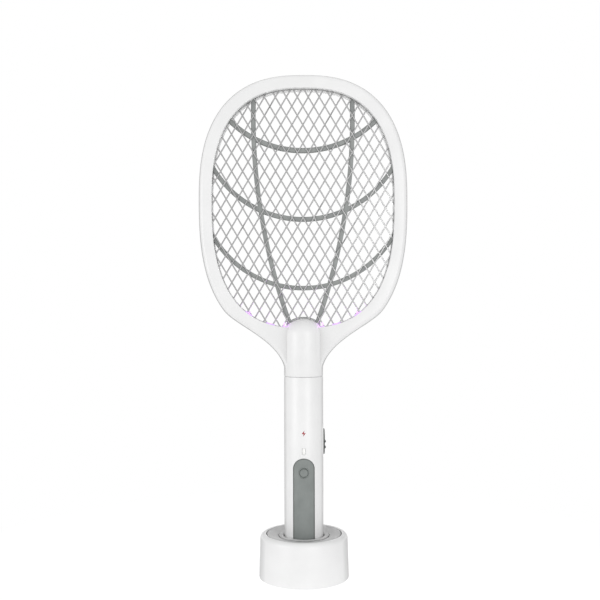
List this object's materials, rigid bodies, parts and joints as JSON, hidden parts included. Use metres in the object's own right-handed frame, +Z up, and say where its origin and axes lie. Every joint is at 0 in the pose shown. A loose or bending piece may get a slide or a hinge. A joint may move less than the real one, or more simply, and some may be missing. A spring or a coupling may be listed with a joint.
{
  "type": "electric fly swatter",
  "caption": "Racket-shaped electric fly swatter with diamond metal nets in an egg-shaped white frame, a round handle with a press button and a slide switch, standing in a round charging dock.",
  "frame": {"origin": "under the middle of the dock, on the surface that it stands on", "axes": "+Z up along the handle, the front of the swatter with its button faces -Y, the slide switch is on +X"},
  "size_m": [0.213, 0.0918, 0.5132],
  "materials": {
    "white_abs": "white injection-moulded ABS, satin",
    "grey_abs": "grey injection-moulded ABS, matt",
    "pale_grey_abs": "pale grey injection-moulded ABS, matt",
    "soft_grip": "grey-green soft-touch plastic, matt",
    "net_steel": "punched and stretched sheet steel, plated",
    "screw_steel": "plated steel",
    "gold_contact": "gold-plated brass contact",
    "green_board": "glass-fibre circuit board with green resist",
    "black_moulding": "black moulded plastic",
    "rubber": "dark grey rubber",
    "violet_lamp": "clear violet epoxy",
    "red_lens": "red clear plastic",
    "milk_lens": "milky clear plastic",
    "cell_wrap": "shrink-wrapped round cell",
    "copper": "enamelled copper winding",
    "red_lead": "red wire insulation",
    "black_lead": "black wire insulation"
  },
  "bodies": {
    "dock": {"base_shell": "white_abs", "base_top_plate": "pale_grey_abs", "base_bottom_plate": "white_abs", "base_foot_ring": "rubber", "dock_board": "green_board", "charging_inlet": "screw_steel", "contact_block": "black_moulding", "base_screw_1": "screw_steel", "base_screw_2": "screw_steel", "base_screw_3": "screw_steel"},
    "swatter": {"head_front_frame": "white_abs", "head_rear_frame": "white_abs", "front_net": "net_steel", "centre_net": "net_steel", "rear_net": "net_steel", "front_rib_grid": "grey_abs", "rear_rib_grid": "grey_abs", "lamp_strip": "green_board", "violet_lamp_1": "violet_lamp", "violet_lamp_2": "violet_lamp", "violet_lamp_3": "violet_lamp", "violet_lamp_4": "violet_lamp", "violet_lamp_5": "violet_lamp", "violet_lamp_6": "violet_lamp", "head_screw_1": "screw_steel", "head_screw_2": "screw_steel", "head_screw_3": "screw_steel", "head_screw_4": "screw_steel", "front_net_lead": "black_lead", "centre_net_lead": "red_lead", "rear_net_lead": "black_lead", "handle_front_shell": "white_abs", "handle_rear_shell": "white_abs", "grip_panel": "soft_grip", "handle_end_cap": "white_abs", "charge_pad_left": "gold_contact", "charge_pad_right": "gold_contact", "battery_cell": "cell_wrap", "battery_cradle": "black_moulding", "main_board": "green_board", "hv_transformer": "copper", "hv_capacitor": "red_lens", "press_switch": "black_moulding", "slide_switch": "screw_steel", "switch_bezel": "white_abs", "charge_lamp": "milk_lens", "cell_lamp": "milk_lens", "charge_lens": "red_lens", "cell_lens": "milk_lens", "handle_screw_lower": "screw_steel", "handle_screw_upper": "screw_steel"},
    "trigger": {"grip_button": "soft_grip", "press_switch_plunger": "black_moulding"},
    "mode_switch": {"switch_cap": "grey_abs", "switch_lever": "black_moulding"},
    "pin_left": {"contact_pin_left": "gold_contact", "pin_spring_left": "screw_steel"},
    "pin_right": {"contact_pin_right": "gold_contact", "pin_spring_right": "screw_steel"}
  },
  "joints": [
    {"name": "swatter_lift", "type": "slide", "parent": "dock", "child": "swatter", "axis": [0, 0, 1], "range_m": [0, 0.05]},
    {"name": "button_press", "type": "slide", "parent": "swatter", "child": "trigger", "axis": [0, 1, 0], "range_m": [0, 0.0008], "stiffness_N_per_m": 600, "springref_m": -0.001},
    {"name": "mode_slide", "type": "slide", "parent": "swatter", "child": "mode_switch", "axis": [0, 0, 1], "range_m": [0, 0.0045]},
    {"name": "left_pin_press", "type": "slide", "parent": "dock", "child": "pin_left", "axis": [0, 0, 1], "range_m": [-0.0008, 0], "stiffness_N_per_m": 100, "springref_m": 0.001, "deforming": ["pin_spring_left"]},
    {"name": "right_pin_press", "type": "slide", "parent": "dock", "child": "pin_right", "axis": [0, 0, 1], "range_m": [-0.0008, 0], "stiffness_N_per_m": 100, "springref_m": 0.001, "deforming": ["pin_spring_right"]}
  ]
}
